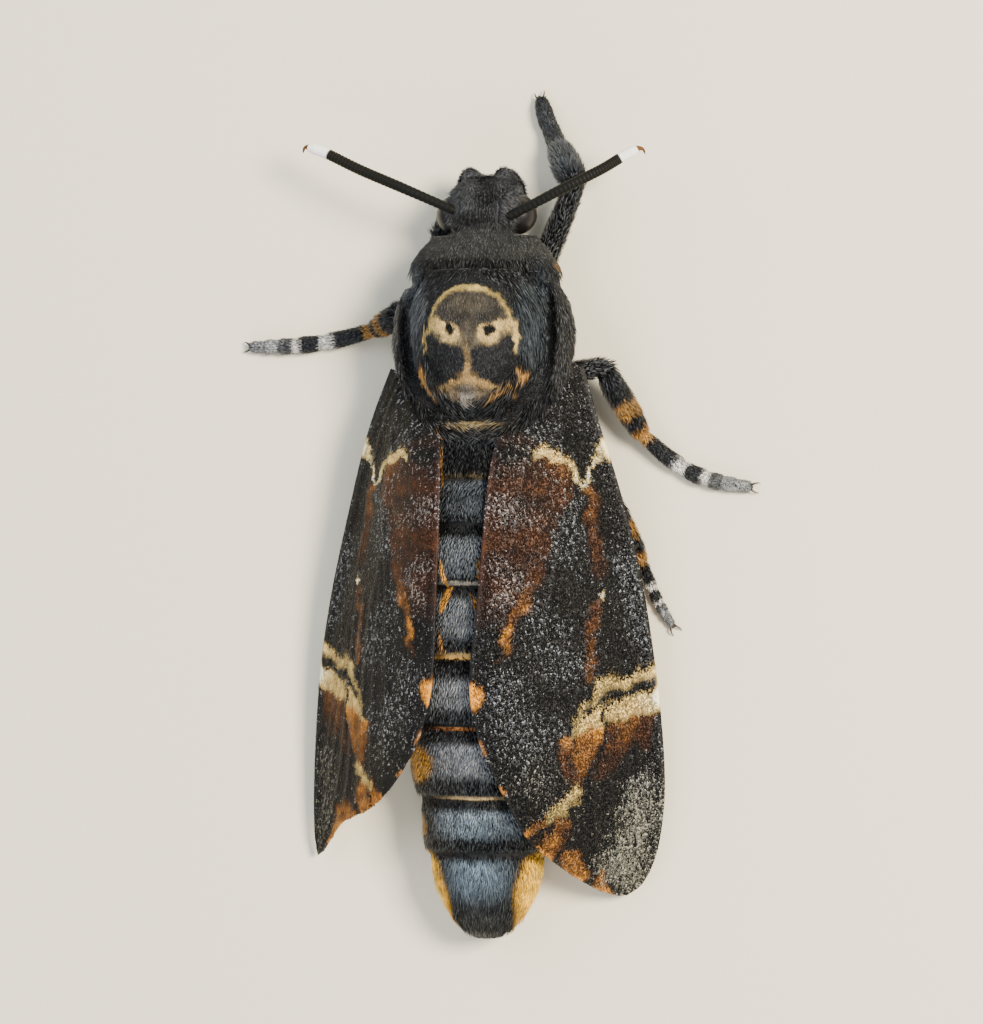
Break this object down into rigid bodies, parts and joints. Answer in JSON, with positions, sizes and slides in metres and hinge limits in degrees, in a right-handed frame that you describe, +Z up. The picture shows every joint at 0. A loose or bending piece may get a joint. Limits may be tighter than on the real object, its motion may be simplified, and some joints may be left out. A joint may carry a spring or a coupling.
{
  "type": "resting hawk moth model",
  "caption": "Life-size death's-head hawk moth at rest, wings folded back like a roof over the abdomen, feelers and legs spread, standing on its feet and belly.",
  "frame": {"origin": "On the floor, under the middle of the bounding box.", "axes": "+X to the moth's right, +Y from tail to head, +Z up from the floor."},
  "size_m": [0.0457, 0.0724, 0.0133],
  "materials": {
    "black_fur": "dense blue-black fur",
    "grey_fur": "short blue-grey scales with black and ochre bands",
    "wing_scales": "matt wing scales, black and chestnut, speckled pale",
    "hindwing_scales": "matt ochre-yellow wing scales with black bands",
    "leg_scales": "dark grey scales ringed with white",
    "feeler": "dull dark horn with a white tip",
    "eye": "glossy dark brown",
    "claw": "polished dark horn"
  },
  "bodies": {
    "root": {"collar": "black_fur", "thorax": "black_fur", "abdomen_ring_1": "grey_fur", "abdomen_ring_2": "grey_fur", "abdomen_ring_3": "grey_fur", "abdomen_ring_4": "grey_fur", "abdomen_ring_5": "grey_fur", "abdomen_ring_6": "grey_fur", "abdomen_ring_7": "grey_fur", "abdomen_tail": "grey_fur", "tegula_left": "black_fur", "eye_left": "eye", "palp_left": "black_fur", "antenna_left": "feeler", "forewing_left": "wing_scales", "hindwing_left": "hindwing_scales", "tegula_right": "black_fur", "eye_right": "eye", "palp_right": "black_fur", "antenna_right": "feeler", "forewing_right": "wing_scales", "hindwing_right": "hindwing_scales", "head": "black_fur", "proboscis": "claw", "leg_front_left_femur": "leg_scales", "leg_front_left_tibia": "leg_scales", "leg_front_left_tarsus": "leg_scales", "leg_front_left_claws": "claw", "leg_front_right_femur": "leg_scales", "leg_front_right_tibia": "leg_scales", "leg_front_right_tarsus": "leg_scales", "leg_front_right_claws": "claw", "leg_middle_left_femur": "leg_scales", "leg_middle_left_tibia": "leg_scales", "leg_middle_left_tarsus": "leg_scales", "leg_middle_left_claws": "claw", "leg_middle_right_femur": "leg_scales", "leg_middle_right_tibia": "leg_scales", "leg_middle_right_tarsus": "leg_scales", "leg_middle_right_claws": "claw", "leg_hind_left_femur": "leg_scales", "leg_hind_left_tibia": "leg_scales", "leg_hind_left_tarsus": "leg_scales", "leg_hind_left_claws": "claw", "leg_hind_right_femur": "leg_scales", "leg_hind_right_tibia": "leg_scales", "leg_hind_right_tarsus": "leg_scales", "leg_hind_right_claws": "claw"}
  },
  "joints": []
}
